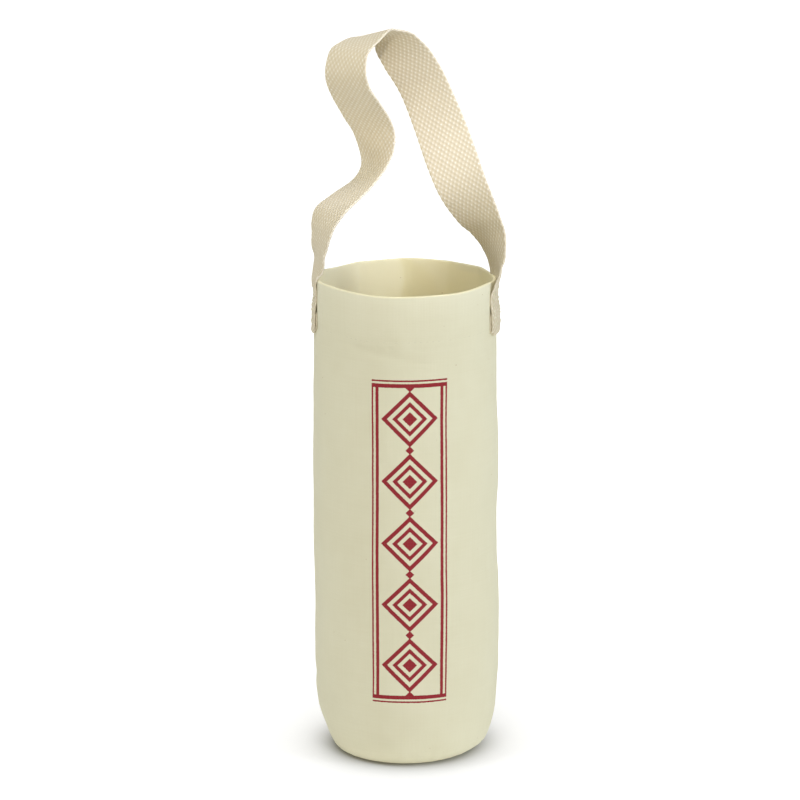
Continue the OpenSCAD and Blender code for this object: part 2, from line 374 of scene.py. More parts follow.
def cloth_map(obj, along, up):
    """UV map cloth, in metres along the yarns: round the body from the front, and up the cloth."""
    around = TURN * sizes().body_radius
    loops = np.zeros(len(obj.data.loops), np.int32)
    obj.data.loops.foreach_get("vertex_index", loops)
    u, v = along[loops], up[loops]
    starts = np.zeros(len(obj.data.polygons), np.int32)
    obj.data.polygons.foreach_get("loop_start", starts)
    face = np.searchsorted(starts, np.arange(len(loops)), side="right") - 1
    top = np.full(len(starts), -1e9)
    np.maximum.at(top, face, u)
    u = np.where(top[face] - u > around / 2, u + around, u)
    layer = obj.data.uv_layers.new(name="cloth")
    layer.data.foreach_set("uv", np.column_stack([u, v]).ravel())


def cloth_sheet(name, across, up, thickness):
    """A sheet of cloth in the XY plane, with a column at each place across and a row at each place up."""
    start_piece()
    bpy.ops.mesh.primitive_grid_add(x_subdivisions=len(across) - 1, y_subdivisions=len(up) - 1, size=1.0)
    obj = bpy.context.object
    obj.name = obj.data.name = name
    flat = coords(obj)
    column = np.round((flat[:, 0] + 0.5) * (len(across) - 1)).astype(int)
    row = np.round((flat[:, 1] + 0.5) * (len(up) - 1)).astype(int)
    set_coords(obj, np.column_stack([across[column], up[row], 0 * row]))
    thick = obj.modifiers.new("thickness", "SOLIDIFY")
    thick.thickness, thick.offset = thickness, 0
    bpy.ops.object.modifier_apply(modifier=thick.name)
    return obj


def canvas_outline():
    """The canvas panel's section as (radius, height, height up the cloth, side) rows, a closed loop.

    side is 1 on the outside of the bag, -1 on the inside, and 0 on edges that show neither.
    """
    size = sizes()
    wall, cloth, rim = size.body_radius, size.cloth, size.rim_height
    seam, corner, allowance = size.base_radius, size.corner_height, size.allowance
    inner = wall - cloth
    hem = inner - size.layer_gap - cloth

    def foot(radius, height, base, turns, side):
        """The rounded foot, from the seam at turn 0 to the upright wall at a quarter turn."""
        for turn in turns:
            z = base + height * (1 - math.cos(turn))
            rows.append((seam + (radius - seam) * math.sin(turn), z, z, side))

    quarter = math.pi / 2
    rows = [(seam - cloth, z, z, 0) for z in np.linspace(allowance - 0.2 * MM, 1.4 * MM, 5)]
    rows += [(seam - cloth, 0.5 * MM, 0.5 * MM, 0), (seam - 0.7 * cloth, 0.12 * MM, 0.1 * MM, 0),
             (seam - 0.3 * cloth, 0.0, 0.0, 0)]
    foot(wall, corner, 0, quarter * (0.03 + 0.97 * (np.arange(40) / 40) ** 0.9), 1)
    rows += [(wall, z, z, 1) for z in np.linspace(corner, rim - 60 * MM, 78, endpoint=False)]
    rows += [(wall, z, z, 1) for z in np.linspace(rim - 60 * MM, rim - 4 * MM, 60, endpoint=False)]
    fold = (wall - hem) / 2
    rows += [(hem + fold + fold * math.cos(turn), rim - fold + fold * math.sin(turn), rim + fold * turn, 0)
             for turn in np.linspace(0, math.pi, 11)]
    rows += [(hem, z, 2 * rim - z, -1) for z in np.linspace(rim - 4 * MM, rim - size.hem_depth, 22)]
    edge, end = rim - size.hem_depth, rim + size.hem_depth
    rows += [(hem + 0.15 * cloth, edge - 0.1 * MM, end, -1), (hem + 0.85 * cloth, edge - 0.1 * MM, end, -1),
             (hem + cloth, edge + 0.3 * MM, end, -1), (hem + cloth, edge + 2.2 * MM, end, -1),
             (inner, edge + 2.2 * MM, edge, -1)]
    rows += [(inner, z, z, -1) for z in np.linspace(edge, corner + 4 * MM, 46)]
    foot(inner, corner - cloth, cloth, quarter * (0.04 + 0.96 * np.arange(22, 0, -1) / 22), -1)
    rows += [(seam + 0.02 * MM, 1.3 * MM, 1.3 * MM, -1)]
    rows += [(seam, z, z, -1) for z in np.linspace(2 * MM, allowance - 0.2 * MM, 5)]
    return rows + [(seam - share * cloth, allowance, allowance, 0) for share in (0.25, 0.75)]


def hem_line(angle, height, side):
    """Relief of the hem on each face of the wall, in metres: the row of stitches, its puckers and the lower edge."""
    size = sizes()
    line = size.rim_height - size.hem_depth + size.hem_margin
    away = (height - line) / MM
    count = round(TURN * size.body_radius / size.stitch_pitch)
    beat = np.cos(angle * count)
    draw = np.random.default_rng(5)
    uneven = ripple(angle, height, draw, (8, 30), (40, 90), 0.10, waves=12)
    patchy = 0.55 + 0.45 * np.cos(3 * angle + 1) * np.cos(7 * angle)
    groove = -0.10 * MM * np.exp(-(away / 1.3) ** 2) * (1 - 0.3 * beat) * patchy
    pillow = 0.04 * MM * np.exp(-((abs(away) - 2.6) / 1.7) ** 2) * (1 + 0.4 * beat) * patchy
    gathers = uneven * np.exp(-(away / 6.0) ** 2)
    step = 0.10 * MM * smooth_step(-5.0, -1.5, away) * (side > 0)
    return (groove + pillow) * side + gathers + step


def back_seam_line(angle, height, side):
    """Relief of the upright seam at the back: a fine valley outside between two soft swells."""
    size = sizes()
    along = np.radians(abs(degrees_from(angle, 180))) * size.body_radius / MM
    beat = np.cos(height / size.stitch_pitch * TURN)
    valley = -0.55 * MM * np.exp(-(along / 0.8) ** 2)
    swell = 0.14 * MM * np.exp(-((along - 3.6) / 2.4) ** 2) * (1 + 0.25 * beat)
    return np.where(side > 0, valley + swell, 0.3 * swell) * smooth_step(6 * MM, 30 * MM, height)


class CARRIER_OT_canvas_body(Operator):
    """Make the canvas tube, with its hem, its rounded foot and the allowance at the base"""
    bl_idname = "carrier.canvas_body"
    bl_label = "Canvas body"

    def execute(self, context):
        size = sizes()
        rows = canvas_outline()
        columns = 288
        obj = spun("canvas_body", [(r, z) for r, z, _, _ in rows], columns)
        angle, radius, height = round_axis(coords(obj))
        if len(angle) < 0.97 * columns * len(rows):
            raise RuntimeError("the canvas tube was not spun whole")
        up, side = np.array(rows)[row_numbers(obj), 2:].T
        out, lift = drape(angle, height)
        moved = radius + out + back_seam_line(angle, height, side) + seam_puckers(angle, height)
        moved += hem_line(angle, height, side) * (side != 0)
        inside_base = (side == 0) & (height < 9 * MM) | (radius < size.base_radius + 0.2 * MM)
        moved = np.where(inside_base, radius + 0.25 * out * smooth_step(2 * MM, 9 * MM, height), moved)
        set_coords(obj, ring_points(angle, moved, height + lift))
        cloth_map(obj, angle * size.body_radius, up)
        # the inner face's painted bounce tint begins at the rim, and a little lower along the back on the right
        paler = 5 * MM * np.exp(-((np.degrees(angle) - 134) / 24) ** 2)
        tone = np.where(up >= size.rim_height, smooth_step(0, 1 * MM + paler, up - size.rim_height), side < 0)
        inner = obj.data.attributes.new("inner", "FLOAT", "POINT")
        inner.data.foreach_set("value", tone.astype(np.float32))
        finish_piece(obj, "canvas")
        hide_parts("body_panel")
        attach(obj, "bag")
        return {"FINISHED"}


class CARRIER_OT_base_cloth(Operator):
    """Make the round base cloth, with its edge turned up inside the seam"""
    bl_idname = "carrier.base_cloth"
    bl_label = "Base cloth"

    def execute(self, context):
        size = sizes()
        cloth, top = size.cloth, size.allowance
        outer = size.base_radius - cloth - size.layer_gap
        inner = outer - cloth
        outline = [(0.0, 0.0)] + [(r, 0.0) for r in np.linspace(3 * MM, outer - 1.2 * MM, 16)]
        outline += [(outer - 0.5 * MM, 0.08 * MM), (outer - 0.12 * MM, 0.35 * MM), (outer, 0.9 * MM)]
        outline += [(outer, z) for z in np.linspace(2 * MM, top - 0.2 * MM, 5)]
        outline += [(outer - 0.25 * cloth, top), (outer - 0.75 * cloth, top), (inner, top - 0.2 * MM)]
        outline += [(inner, z) for z in np.linspace(top - 1.6 * MM, cloth + 1.2 * MM, 4)]
        outline += [(inner - 0.15 * MM, cloth + 0.4 * MM), (inner - 0.6 * MM, cloth + 0.05 * MM)]
        outline += [(r, cloth) for r in np.linspace(inner - 1.6 * MM, 3 * MM, 16)] + [(0.0, cloth)]
        obj = spun("base_cloth", outline, 144)
        angle, radius, height = round_axis(coords(obj))
        draw = np.random.default_rng(31)
        flap = ripple(angle, height, draw, (5, 20), (40, 90), 0.10) * smooth_step(2 * MM, top, height)
        crown = 0.35 * MM * (1 - (radius / outer) ** 2) * (height > 0.5 * cloth)
        moved = np.where(radius > 1e-6, radius + np.minimum(flap, 0.12 * MM), 0)
        set_coords(obj, ring_points(angle, moved, height + crown))
        cloth_map(obj, *coords(obj).T[:2])
        finish_piece(obj, "canvas")
        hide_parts("base_disc")
        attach(obj, "bag")
        return {"FINISHED"}


class CARRIER_OT_seam_edges(Operator):
    """Make the two edges of the tube, pressed open inside the back"""
    bl_idname = "carrier.seam_edges"
    bl_label = "Back seam edges"

    def execute(self, context):
        size = sizes()
        low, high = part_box("back_seam")
        wall_inner = size.body_radius - size.cloth - size.layer_gap
        for side, name in ((1, "back_seam_edge_right"), (-1, "back_seam_edge_left")):
            obj = cloth_sheet(name, np.linspace(0.5 * MM, size.allowance - 0.1 * MM, 9),
                              np.linspace(low.z, high.z, 101), size.cloth)
            across, up, out_way = coords(obj).T
            cloth_map(obj, across, up)
            draw = np.random.default_rng(41 + side)
            edge = across / size.allowance
            waver = ripple(edge * 0, up, draw, (1, 1), (30, 120), 0.35, waves=8)
            angle = math.pi - side * (across + waver * edge) / wall_inner
            curl = edge ** 2 * (0.5 * MM + ripple(edge * 0, up, draw, (1, 1), (18, 70), 0.22, waves=10))
            radius = wall_inner - size.cloth / 2 + out_way - np.maximum(curl, 0) + drape(angle, up)[0]
            set_coords(obj, ring_points(angle, radius, up))
            finish_piece(obj, "canvas")
            if side > 0:
                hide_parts("back_seam")
            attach(obj, "bag")
        return {"FINISHED"}


# The handle's route

# Each row: place across and along Y as shares of the webbing's sewn radius, height as a share of
# LOOP_RISE above the fold line, the webbing's turn about Z and its lean, in degrees
ROUTE = (
    (-0.995, -0.05, -0.146, 4, 0), (-0.975, -0.03, -0.112, 7, -7), (-0.93, -0.01, -0.058, 12, -6.9),
    (-0.923, -0.002, 0, 19.4, -1.6), (-0.902, 0.006, 0.059, 24, 2.8), (-0.876, 0.023, 0.113, 30.4, 3.7),
    (-0.803, 0.074, 0.173, 37.8, 2.9), (-0.641, 0.189, 0.23, 35.9, 4.5), (-0.466, 0.307, 0.29, 29.3, 6.2),
    (-0.368, 0.374, 0.354, 32.9, 10.3), (-0.343, 0.392, 0.435, 43.2, 18.9), (-0.363, 0.355, 0.518, 52.1, 8),
    (-0.434, 0.22, 0.602, 66.5, -1.8), (-0.525, 0.023, 0.69, 66.7, -4.8), (-0.594, -0.134, 0.769, 57, -2.8),
    (-0.609, -0.195, 0.846, 50, 3.4), (-0.568, -0.182, 0.921, 48, 3.4), (-0.43, -0.067, 0.97, 42.4, 6.1),
    (-0.302, 0.043, 0.993, 28.2, 12.1), (-0.224, 0.101, 0.988, 37.9, 13.3), (-0.15, 0.145, 0.962, 48.5, 16.7),
    (-0.088, 0.169, 0.924, 62.9, 13.2), (0.017, 0.216, 0.859, 72.1, 12.6), (0.164, 0.259, 0.751, 66.8, 22.9),
    (0.336, 0.21, 0.581, 71.8, 19.8), (0.477, 0.097, 0.428, 76.6, 23.3), (0.61, 0, 0.293, 68.6, 21.2),
    (0.776, -0.012, 0.163, 54.6, 12.5), (0.878, 0.005, 0.092, 41.9, 9.1), (0.922, 0.006, 0.046, 31.8, 13.3),
    (0.951, 0.003, 0, 24.8, 11.3), (0.985, -0.01, -0.062, 17, 8), (1, -0.035, -0.108, 11.5, 4),
    (0.995, -0.05, -0.146, 4, 0),
)
LOOP_RISE = 130 * MM
STEP_RUN = 7 * MM


def sewn_line(side):
    """The webbing's middle line up one sewn end, from the tucked raw end to just under the rim."""
    size = sizes()
    near = size.body_radius + 0.15 * MM + size.pressed / 2
    bend = size.pressed / 2 + 0.05 * MM
    low, top = size.sewn_bottom + 1.5 * MM, size.sewn_bottom + size.turn_under
    points = [(near, z) for z in np.linspace(top, low + bend, 60, endpoint=False)]
    points += [(near + bend + bend * math.cos(turn), low + bend + bend * math.sin(turn))
               for turn in np.linspace(math.pi, TURN, 24, endpoint=False)]
    points += [(near + 2 * bend + 0.2 * MM * math.exp(-((z - low) / (7 * MM) - 0.7) ** 2 * 3), z)
               for z in np.linspace(low + bend, top, 60, endpoint=False)]
    points += [(near + 2 * bend * (1 - float(smooth_step(0, 1, share))), top + STEP_RUN * share)
               for share in np.linspace(0, 1, 50, endpoint=False)]
    turn = math.radians(TAB_FORWARD_DEG)
    return [(side * r * math.cos(turn), -r * math.sin(turn), z, -side * TAB_FORWARD_DEG, 0.0) for r, z in points]


def through(rows, steps):
    """A smooth curve through all rows but the first and the last, with the given steps between two rows."""
    rows = np.array(rows, float)
    found = []
    for a, b, c, d in zip(rows, rows[1:], rows[2:], rows[3:]):
        for t in np.arange(steps) / steps:
            found.append((2 * b + (c - a) * t + (2 * a - 5 * b + 4 * c - d) * t ** 2
                          + (3 * b - a - 3 * c + d) * t ** 3) / 2)
    return np.array(found)


def webbing_line(spacing):
    """The whole handle's middle line at even spacing: places, across directions and run from the raw end."""
    size = sizes()
    seat = size.body_radius + size.layer_gap + size.strap_thickness / 2
    loop = [(x * seat, y * seat, FOLD_Z + z * LOOP_RISE, turn, lean) for x, y, z, turn, lean in ROUTE]
    below = loop[0][2] - 5 * MM
    first, last = loop[0], loop[-1]
    middle = through([(*first[:2], below, *first[3:])] + loop + [(*last[:2], below, *last[3:])], 40)
    rows = np.vstack([sewn_line(-1), middle, sewn_line(1)[::-1]])
    rows = rows[np.concatenate([[True], np.linalg.norm(np.diff(rows[:, :3], axis=0), axis=1) > 1e-6])]
    run = np.concatenate([[0], np.cumsum(np.linalg.norm(np.diff(rows[:, :3], axis=0), axis=1))])
    count = int(round(run[-1] / spacing))
    even = np.linspace(0, run[-1], count + 1)
    rows = np.column_stack([np.interp(even, run, rows[:, k]) for k in range(5)])
    place = rows[:, :3]
    heading = np.gradient(place, axis=0)
    heading /= np.linalg.norm(heading, axis=1)[:, None]
    turn, lean = np.radians(rows[:, 3]), np.radians(rows[:, 4])
    across = np.column_stack([np.sin(turn) * np.cos(lean), -np.cos(turn) * np.cos(lean), np.sin(lean)])
    across -= heading * (across * heading).sum(1)[:, None]
    across /= np.linalg.norm(across, axis=1)[:, None]
    return even, place, heading, across


def on_webbing(line, run, side_way, out_way):
    """Points on the handle: run along it, side_way towards its front edge, out_way away from the bag."""
    size = sizes()
    even, *parts = line
    middle, ahead, side = (np.column_stack([np.interp(run, even, part[:, k]) for k in range(3)]) for part in parts)
    ahead /= np.linalg.norm(ahead, axis=1)[:, None]
    side -= ahead * (side * ahead).sum(1)[:, None]
    side /= np.linalg.norm(side, axis=1)[:, None]
    inward = np.cross(ahead, side)
    plain = middle - inward * out_way[:, None]
    # above the rim the webbing stays curved across for a little way
    curve = 1 - smooth_step(size.rim_height, size.rim_height + 16 * MM, middle[:, 2])
    bow = (curve / size.body_radius * side_way)[:, None]
    across = side * np.sinc(bow / math.pi) + inward * np.sin(bow / 2) * np.sinc(bow / TURN)
    loose = middle + side_way[:, None] * across + (side * np.sin(bow) - inward * np.cos(bow)) * out_way[:, None]
    # the sewn ends bend round the wall and follow its drape
    turn = -np.sign(middle[:, 0]) * side_way / size.body_radius
    cos, sin = np.cos(turn), np.sin(turn)
    x, y, z = plain.T
    bent = np.column_stack([x * cos - y * sin, x * sin + y * cos, z])
    angle, reach, height = round_axis(bent)
    out, _ = drape(angle, np.minimum(height, size.rim_height - 1 * MM))
    bent[:, :2] *= ((reach + out) / reach)[:, None]
    # their lower corners are rounded
    corner = smooth_step(size.strap_width / 2 - 6 * MM, size.strap_width / 2, abs(side_way))
    corner *= 1 - smooth_step(size.sewn_bottom + 1 * MM, size.sewn_bottom + 10 * MM, middle[:, 2])
    bent[:, 2] += 2.5 * MM * corner
    held = 1 - smooth_step(size.rim_height - 7 * MM, size.rim_height + 1 * MM, middle[:, 2])
    return loose + (bent - loose) * held[:, None]


class CARRIER_OT_webbing_handle(Operator):
    """Make the handle: one length of webbing, sewn on with its raw ends turned under"""
    bl_idname = "carrier.webbing_handle"
    bl_label = "Webbing handle"

    def execute(self, context):
        size = sizes()
        half = size.strap_width / 2
        line = webbing_line(size.pick_pitch / 3)
        # columns are even across the cords and closer at the selvedges
        edge = half - np.array([0.7, 0.4, 0.15, 0]) * MM
        columns = np.concatenate([-edge[::-1], np.arange(-30, 31) * size.cord_pitch / 3, edge])
        obj = cloth_sheet("webbing_handle", columns, line[0], size.strap_thickness)
        side_way, run, out_way = coords(obj).T
        face = np.sign(out_way)
        # cords that are on top on one face lie under on the other
        cloth_map(obj, side_way, run + np.where(face < 0, size.pick_pitch, 0))
        to_edge = (half - abs(side_way)) / MM
        rounded = np.sqrt(np.clip(1 - ((0.8 - np.minimum(to_edge, 0.8)) / 0.8) ** 2, 0, 1))
        from_raw = np.minimum(run, line[0][-1] - run)
        free = smooth_step(2 * size.turn_under + 6 * MM, 2 * size.turn_under + 26 * MM, from_raw)
        pick = np.cos(math.pi * run / size.pick_pitch)
        weave = np.cos(math.pi * side_way / size.cord_pitch) * pick
        relief = 0.07 * MM * weave * smooth_step(0.3, 1.4, to_edge) * (0.3 + 0.7 * free)
        thickness = size.pressed / 2 + (size.strap_thickness / 2 - 0.12 * MM - size.pressed / 2) * free
        thickness *= 0.3 + 0.7 * smooth_step(0, 1.6 * MM, from_raw)
        out_way = face * thickness * (rounded + (1 - rounded) * (0.65 - 0.4 * free)) + relief
        scallop = (0.25 + 0.12 * pick) * MM * np.sign(side_way) * (to_edge < 0.5)
        set_coords(obj, on_webbing(line, run, side_way + scallop, out_way))
        finish_piece(obj, "webbing")
        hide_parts("strap_end_left", "strap_end_right", "handle_strap")
        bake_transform(obj)
        return {"FINISHED"}


# Stitches

def stitch_shape():
    """Points and faces of one stitch along X from -0.5 to 0.5, round in section, from a sphere."""
    start_piece()
    bpy.ops.mesh.primitive_uv_sphere_add(segments=10, ring_count=8, radius=0.5)
    obj = bpy.context.object
    edit_whole()
    bpy.ops.transform.rotate(value=math.pi / 2, orient_axis="Y", center_override=(0, 0, 0))
    bpy.ops.object.mode_set(mode="OBJECT")
    points = coords(obj)
    # a capsule: fuller towards the ends than the sphere
    girth = np.maximum(np.hypot(points[:, 1], points[:, 2]), 1e-6)
    wanted = 0.5 * np.clip(1 - (2 * points[:, 0]) ** 2, 0, 1) ** 0.25
    points[:, 1:] *= (wanted / girth)[:, None]
    faces = [tuple(p.vertices) for p in obj.data.polygons]
    bpy.data.objects.remove(obj, do_unlink=True)
    return points, faces


def sew(name, stitches, nodes, slack=0.10):
    """Lays one stitch for each (from, to, outward) and joins them as a piece."""
    thread = sizes().thread
    shape, faces = stitch_shape()
    all_points, all_faces = [], []
    draw = np.random.default_rng(len(stitches))
    for number, stitch in enumerate(stitches):
        start, end, outward = (np.asarray(v, float) for v in stitch)
        along = end - start
        span = np.linalg.norm(along)
        along /= span
        outward = outward - along * (outward @ along)
        outward /= np.linalg.norm(outward)
        girth = thread * draw.uniform(0.92, 1.06)
        rise = thread * (slack * draw.uniform(0.5, 1.5) - 0.75 * abs(2 * shape[:, 0]) ** 3)
        all_points.append((start + end) / 2 + np.outer(shape[:, 0] * span * 0.98, along)
                          + np.outer(shape[:, 1] * girth * 1.15, np.cross(outward, along))
                          + np.outer(shape[:, 2] * girth + rise, outward))
        all_faces += [tuple(corner + number * len(shape) for corner in face) for face in faces]
    mesh = bpy.data.meshes.new(name)
    mesh.from_pydata(np.vstack(all_points).tolist(), [], all_faces)
    obj = bpy.data.objects.new(name, mesh)
    bpy.context.scene.collection.objects.link(obj)
    finish_piece(obj, "thread")
    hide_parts(*nodes)
    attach(obj, "bag")


def wall_points(angle, height, face):
    """Points on the draped wall: on its outer face for 1, and on its inner face for -1."""
    size = sizes()
    angle, height = (np.array(part, float) for part in np.broadcast_arrays(angle, height))
    out, lift = drape(angle, height)
    radius = size.body_radius - size.cloth * (face < 0) + out
    radius += hem_line(angle, height, face) + back_seam_line(angle, height, face)
    return ring_points(angle, radius, height + lift)


class CARRIER_OT_stitching(Operator):
    """Sew the hem, the back seam, the base seam and the two ends of the webbing"""
    bl_idname = "carrier.stitching"
    bl_label = "Stitching"

    def execute(self, context):
        size = sizes()
        pitch, show = size.stitch_pitch, 0.72
        # the hem, outside, up to the webbing on each side
        line = size.rim_height - size.hem_depth + size.hem_margin
        count = round(TURN * size.body_radius / pitch)
        half = math.pi / count * show
        reach = (size.strap_width / 2 + 0.6 * MM) / size.body_radius
        hem = [(*wall_points([a - half, a + half], line, 1), (math.sin(a), -math.cos(a), 0))
               for a in TURN * (np.arange(count) + 0.5) / count - math.pi if abs(abs(a) - math.pi / 2) >= reach]
        sew("hem_thread", hem, ["hem_stitching"], slack=-0.36)
        # the back seam, where the tube's two edges part inside
        low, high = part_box("back_seam_stitching")
        count = round((high.z - low.z) / pitch)
        half = pitch / 2 * show
        back = [(*wall_points(math.pi, [z - half, z + half], -1), (0, -1, 0))
                for z in low.z + (high.z - low.z) * (np.arange(count) + 0.5) / count]
        sew("back_seam_thread", back, ["back_seam_stitching"])
        # the base seam, round the turned-up edge of the base cloth
        low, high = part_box("base_seam_stitching")
        ring = size.base_radius - 2 * size.cloth - size.layer_gap
        count = round(TURN * ring / pitch)
        half = math.pi / count * show
        base = [(*ring_points([a - half, a + half], ring, (low.z + high.z) / 2), (-math.sin(a), math.cos(a), 0))
                for a in TURN * (np.arange(count) + 0.5) / count]
        sew("base_seam_thread", base, ["base_seam_stitching"])
        # the webbing's sewn ends: a box of stitches with its diagonals, which stop just short of its corners
        half_width, tuck = size.strap_width / 2 - 3.5 * MM, size.turn_under + 1.5 * MM
        a, b, c, d = np.array([[side * half_width, run] for side, run in (
            (-1, tuck + 3.2 * MM), (1, tuck + 3.2 * MM), (1, tuck + 25 * MM), (-1, tuck + 25 * MM))])
        rows = [(a, b), (b, c), (c, d), (d, a)]
        for p, q in ((a, c), (b, d)):
            short = (q - p) / np.linalg.norm(q - p) * pitch / 2
            rows.append((p + short, q - short))
        route = webbing_line(size.pick_pitch / 3)
        outs = size.pressed / 2 + np.array([0.08, 0.08, 0.08, 1.08]) * MM
        for name, raw, way in (("left", 0, 1), ("right", route[0][-1], -1)):
            laid = []
            for p, q in rows:
                count = max(1, round(np.linalg.norm(q - p) / pitch))
                for k in range(count):
                    a, b = (p + (q - p) * (k + (1 + end * show) / 2) / count for end in (-1, 1))
                    places = np.array([a, b, (a + b) / 2, (a + b) / 2])
                    start, end, middle, above = on_webbing(route, raw + way * places[:, 1], places[:, 0], outs)
                    laid.append((start, end, above - middle))
            sew("strap_thread_" + name, laid, ["strap_stitching_" + name], slack=0.2)
        return {"FINISHED"}


# Finishes

class CARRIER_OT_finishes(Operator):
    """Make the materials: undyed canvas with its print, cotton webbing and sewing thread"""
    bl_idname = "carrier.finishes"
    bl_label = "Finishes"

    def execute(self, context):
        canvas_material()
        webbing_material()
        thread_material()
        return {"FINISHED"}


def print_mask(add, u, v):
    """1 under the ink: a band of nested lozenges between thin rules, up the front. u and v are in mm."""
    middle_u, low, high, repeat = 6.0, 48.0, 238.0, 38.0
    half = (high - low) / 2
    x, y = (add("Math", {0: add("Math", {0: value, 1: centre}, operation="SUBTRACT")}, operation="ABSOLUTE")
            for value, centre in ((u, middle_u), (v, low + half)))
    # distance from the nearest lozenge's middle, and from the nearest place between two
    far = []
    for shift in (0, repeat / 2):
        moved = add("Math", {0: v, 1: shift - low}, operation="ADD")
        phase = add("Math", {0: moved, 1: repeat}, operation="FLOORED_MODULO")
        centred = add("Math", {0: phase, 1: repeat / 2}, operation="SUBTRACT")
        tall = add("Math", {0: centred}, operation="ABSOLUTE")
        far.append(add("Math", {0: x, 1: tall}, operation="ADD"))
    lozenge, between = far
    # each mark is a value, its middle and half its width; the last of each group bounds the rest
    upright = ((lozenge, 0, 4.4), (lozenge, 9, 1.5), (lozenge, 15.4, 1.7), (between, 0, 2.6), (x, 19.6, 0.95),
               (x, 22.4, 0.5), (y, 0, half))
    bars = ((y, half + 1.2, 1.2), (y, half + 4.1, 0.5), (x, 0, 22.9))
    inked = []
    for group in (upright, bars):
        *marks, bound = [add("Math", {0: value, 1: middle, 2: width}, operation="COMPARE")
                         for value, middle, width in group]
        total = marks[0]
        for mark in marks[1:]:
            total = add("Math", {0: total, 1: mark}, operation="MAXIMUM")
        inked.append(add("Math", {0: total, 1: bound}, operation="MULTIPLY"))
    return add("Math", {0: inked[0], 1: inked[1]}, operation="MAXIMUM")


def canvas_material():
    """Undyed cotton canvas, plain woven from spun yarn: matt, slightly uneven in tone, with slubs and seed flecks."""
    colours = bpy.context.scene.carrier_colours
    add = new_material(MATERIALS["canvas"])
    in_mm = add("VectorMath", {0: add("UVMap", uv_map="cloth"), "Scale": 1000.0}, operation="SCALE")
    u, v, _ = add("SeparateXYZ", {0: in_mm}).outputs
    place = add("TexCoord").outputs["Object"]
    # yarns: 0.9 mm apart, a little coarser than real canvas so that they show
    yarn_mm = 0.9
    yarns = []
    for part in (u, v):
        turned = add("Math", {0: part, 1: math.pi / yarn_mm}, operation="MULTIPLY")
        yarns.append(add("Math", {0: add("Math", {0: turned}, operation="SINE")}, operation="ABSOLUTE"))
    weave = add("Math", {0: yarns[0], 1: yarns[1]}, operation="MULTIPLY")
    # slubs: thicker and darker stretches of single yarns, both ways
    streaks = []
    for scale in ((1.0, 0.022, 0.0), (0.022, 1.0, 0.0)):
        stretched = add("VectorMath", {0: in_mm, 1: scale}, operation="MULTIPLY")
        streaks.append(add("TexNoise", {"Vector": stretched, "Scale": 0.9, "Detail": 2.0, "Roughness": 0.55}))
    slubs = add("Math", {0: streaks[0], 1: streaks[1]}, operation="ADD")
    cloud = add("TexNoise", {"Vector": place, "Scale": 32.0, "Detail": 3.0, "Roughness": 0.55})
    tone = add("Math", {0: slubs, 1: 0.16}, operation="MULTIPLY")
    tone = add("Math", {0: cloud, 1: 0.40, 2: tone}, operation="MULTIPLY_ADD")
    tone = add("Math", {0: weave, 1: 0.05, 2: tone}, operation="MULTIPLY_ADD")
    share = add("MapRange", {"Value": tone, "From Min": 0.08, "From Max": 0.64})
    cloth = add("Mix", {0: share, 6: (*colours.canvas_deep, 1), 7: (*colours.canvas, 1)}, data_type="RGBA")
    # painted bounce light: the inner face is mixed towards a yellower, brighter colour
    inner = add("Attribute", attribute_name="inner")
    inner = add("Math", {0: inner.outputs["Fac"], 1: 0.85}, operation="MULTIPLY")
    cloth = add("Mix", {0: inner, 6: cloth.outputs[2], 7: (*colours.canvas_inner_painted_bounce, 1)}, data_type="RGBA")
    # seed flecks: about half a millimetre, a few on each hand's breadth
    cells = add("TexVoronoi", {"Vector": in_mm, "Scale": 0.095, "Randomness": 1.0})
    fleck = add("Math", {0: cells.outputs["Distance"], 1: 0.032}, operation="LESS_THAN")
    fleck = add("Math", {0: fleck, 1: 0.55}, operation="MULTIPLY")
    cloth = add("Mix", {0: fleck, 6: cloth.outputs[2], 7: (*colours.seed, 1)}, data_type="RGBA")
    # the ink sits in the yarns, so its edge wanders by a fraction of a yarn and it is thinner in the hollows
    wander = add("TexNoise", {"Vector": in_mm, "Scale": 1.6, "Detail": 1.0})
    shift = add("Math", {0: wander, 1: -0.5}, operation="ADD")
    mask = print_mask(add, *(add("Math", {0: shift, 1: 0.5, 2: part}, operation="MULTIPLY_ADD") for part in (u, v)))
    # only the front is printed
    front = add("Math", {0: add("SeparateXYZ", {0: place}).outputs[1], 1: -44.5 * MM}, operation="LESS_THAN")
    mask = add("Math", {0: mask, 1: front}, operation="MULTIPLY")
    cover = add("MapRange", {"Value": weave, "From Max": 0.5, "To Min": 0.95})
    mask = add("Math", {0: mask, 1: cover}, operation="MULTIPLY")
    cloth = add("Mix", {0: mask, 6: cloth.outputs[2], 7: (*colours.ink, 1)}, data_type="RGBA")
    # relief: yarns, slubs and the fuzz of spun cotton
    fuzz = add("TexNoise", {"Vector": in_mm, "Scale": 3.5, "Detail": 2.0})
    relief = add("Math", {0: fuzz, 1: 0.25, 2: weave}, operation="MULTIPLY_ADD")
    relief = add("Math", {0: slubs, 1: 0.4, 2: relief}, operation="MULTIPLY_ADD")
    bump = add("Bump", {"Strength": 0.22, "Distance": 0.12 * MM, "Height": relief})
    shader = add("BsdfPrincipled", {"Base Color": cloth.outputs[2], "Roughness": 0.9, "Specular IOR Level": 0.25,
                                    "Sheen Weight": 0.12, "Sheen Roughness": 0.5, "Normal": bump})
    add("OutputMaterial", {0: shader})


